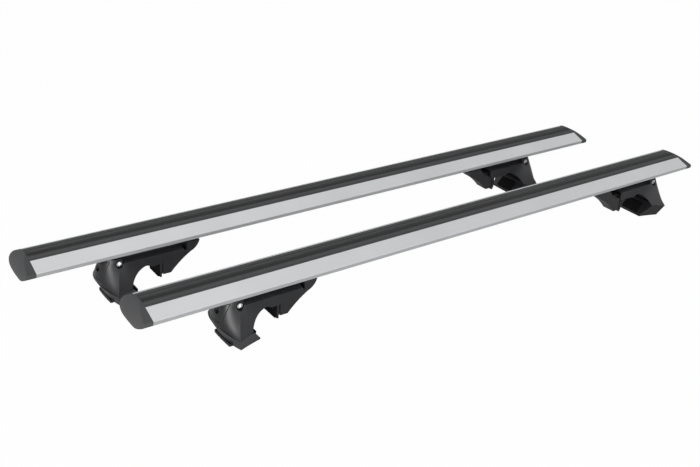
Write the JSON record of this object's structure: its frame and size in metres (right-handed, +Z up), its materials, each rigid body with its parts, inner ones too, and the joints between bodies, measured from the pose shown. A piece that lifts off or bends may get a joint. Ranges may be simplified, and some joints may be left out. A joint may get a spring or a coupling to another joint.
{
  "type": "roof cross bar pair",
  "caption": "Pair of wing-section roof cross bars on clamp feet with sliding inner jaws, for raised side rails.",
  "frame": {"origin": "middle of the pair on the plane of the feet's undersides", "axes": "+X along the bars, +Y from the front bar to the rear bar, +Z up"},
  "size_m": [1.332, 0.308, 0.108],
  "materials": {
    "bar_aluminium": "satin",
    "strip_rubber": "satin",
    "cap_plastic": "satin",
    "foot_plastic": "satin",
    "cover_plastic": "satin",
    "jaw_plastic": "satin",
    "pad_rubber": "matte",
    "bright_steel": "gloss",
    "zinc_steel": "satin",
    "lock_metal": "satin"
  },
  "bodies": {
    "rack": {"front_bar": "bar_aluminium", "front_top_strip": "strip_rubber", "front_cap_left": "cap_plastic", "front_cap_right": "cap_plastic", "rear_bar": "bar_aluminium", "rear_top_strip": "strip_rubber", "rear_cap_left": "cap_plastic", "rear_cap_right": "cap_plastic", "front_left_housing": "foot_plastic", "front_left_end_cover": "cover_plastic", "front_left_outer_pad": "pad_rubber", "front_left_thrust_washer": "zinc_steel", "front_left_side_screws": "bright_steel", "front_left_tee_bolts": "zinc_steel", "front_left_tee_nuts": "zinc_steel", "front_right_housing": "foot_plastic", "front_right_end_cover": "cover_plastic", "front_right_outer_pad": "pad_rubber", "front_right_thrust_washer": "zinc_steel", "front_right_side_screws": "bright_steel", "front_right_tee_bolts": "zinc_steel", "front_right_tee_nuts": "zinc_steel", "rear_left_housing": "foot_plastic", "rear_left_end_cover": "cover_plastic", "rear_left_outer_pad": "pad_rubber", "rear_left_thrust_washer": "zinc_steel", "rear_left_side_screws": "bright_steel", "rear_left_tee_bolts": "zinc_steel", "rear_left_tee_nuts": "zinc_steel", "rear_right_housing": "foot_plastic", "rear_right_end_cover": "cover_plastic", "rear_right_outer_pad": "pad_rubber", "rear_right_thrust_washer": "zinc_steel", "rear_right_side_screws": "bright_steel", "rear_right_tee_bolts": "zinc_steel", "rear_right_tee_nuts": "zinc_steel"},
    "front_left_jaw": {"front_left_inner_jaw": "jaw_plastic", "front_left_inner_pad": "pad_rubber", "front_left_clamp_nut": "zinc_steel"},
    "front_left_screw": {"front_left_clamp_screw": "zinc_steel"},
    "front_left_lock": {"front_left_lock_barrel": "lock_metal"},
    "front_right_jaw": {"front_right_inner_jaw": "jaw_plastic", "front_right_inner_pad": "pad_rubber", "front_right_clamp_nut": "zinc_steel"},
    "front_right_screw": {"front_right_clamp_screw": "zinc_steel"},
    "front_right_lock": {"front_right_lock_barrel": "lock_metal"},
    "rear_left_jaw": {"rear_left_inner_jaw": "jaw_plastic", "rear_left_inner_pad": "pad_rubber", "rear_left_clamp_nut": "zinc_steel"},
    "rear_left_screw": {"rear_left_clamp_screw": "zinc_steel"},
    "rear_left_lock": {"rear_left_lock_barrel": "lock_metal"},
    "rear_right_jaw": {"rear_right_inner_jaw": "jaw_plastic", "rear_right_inner_pad": "pad_rubber", "rear_right_clamp_nut": "zinc_steel"},
    "rear_right_screw": {"rear_right_clamp_screw": "zinc_steel"},
    "rear_right_lock": {"rear_right_lock_barrel": "lock_metal"}
  },
  "joints": [
    {"name": "front_left_jaw_slide", "type": "slide", "parent": "rack", "child": "front_left_jaw", "axis": [1, 0, 0], "range_m": [-0.002, 0.024]},
    {"name": "front_left_screw_turn", "type": "hinge", "parent": "rack", "child": "front_left_screw", "pos_m": [-0.42125, -0.10265, 0.053], "axis": [1, 0, 0], "range_deg": [-6916, 580]},
    {"name": "front_left_lock_turn", "type": "hinge", "parent": "rack", "child": "front_left_lock", "pos_m": [-0.42125, -0.10265, 0.0575], "axis": [1, 0, 0], "range_deg": [0, 90]},
    {"name": "front_right_jaw_slide", "type": "slide", "parent": "rack", "child": "front_right_jaw", "axis": [-1, 0, 0], "range_m": [-0.0205, 0.0055]},
    {"name": "front_right_screw_turn", "type": "hinge", "parent": "rack", "child": "front_right_screw", "pos_m": [0.58105, -0.10265, 0.053], "axis": [-1, 0, 0], "range_deg": [-1588, 5908]},
    {"name": "front_right_lock_turn", "type": "hinge", "parent": "rack", "child": "front_right_lock", "pos_m": [0.58105, -0.10265, 0.0575], "axis": [-1, 0, 0], "range_deg": [0, 90]},
    {"name": "rear_left_jaw_slide", "type": "slide", "parent": "rack", "child": "rear_left_jaw", "axis": [1, 0, 0], "range_m": [-0.005, 0.021]},
    {"name": "rear_left_screw_turn", "type": "hinge", "parent": "rack", "child": "rear_left_screw", "pos_m": [-0.52605, 0.10265, 0.053], "axis": [1, 0, 0], "range_deg": [-6052, 1444]},
    {"name": "rear_left_lock_turn", "type": "hinge", "parent": "rack", "child": "rear_left_lock", "pos_m": [-0.52605, 0.10265, 0.0575], "axis": [1, 0, 0], "range_deg": [0, 90]},
    {"name": "rear_right_jaw_slide", "type": "slide", "parent": "rack", "child": "rear_right_jaw", "axis": [-1, 0, 0], "range_m": [-0.016, 0.01]},
    {"name": "rear_right_screw_turn", "type": "hinge", "parent": "rack", "child": "rear_right_screw", "pos_m": [0.41495, 0.10265, 0.053], "axis": [-1, 0, 0], "range_deg": [-2884, 4612]},
    {"name": "rear_right_lock_turn", "type": "hinge", "parent": "rack", "child": "rear_right_lock", "pos_m": [0.41495, 0.10265, 0.0575], "axis": [-1, 0, 0], "range_deg": [0, 90]}
  ],
  "couplings": [
    {"joint": "front_left_screw_turn", "follows": "front_left_jaw_slide", "rad_per_m": -5026.5},
    {"joint": "front_right_screw_turn", "follows": "front_right_jaw_slide", "rad_per_m": -5026.5},
    {"joint": "rear_left_screw_turn", "follows": "rear_left_jaw_slide", "rad_per_m": -5026.5},
    {"joint": "rear_right_screw_turn", "follows": "rear_right_jaw_slide", "rad_per_m": -5026.5}
  ]
}
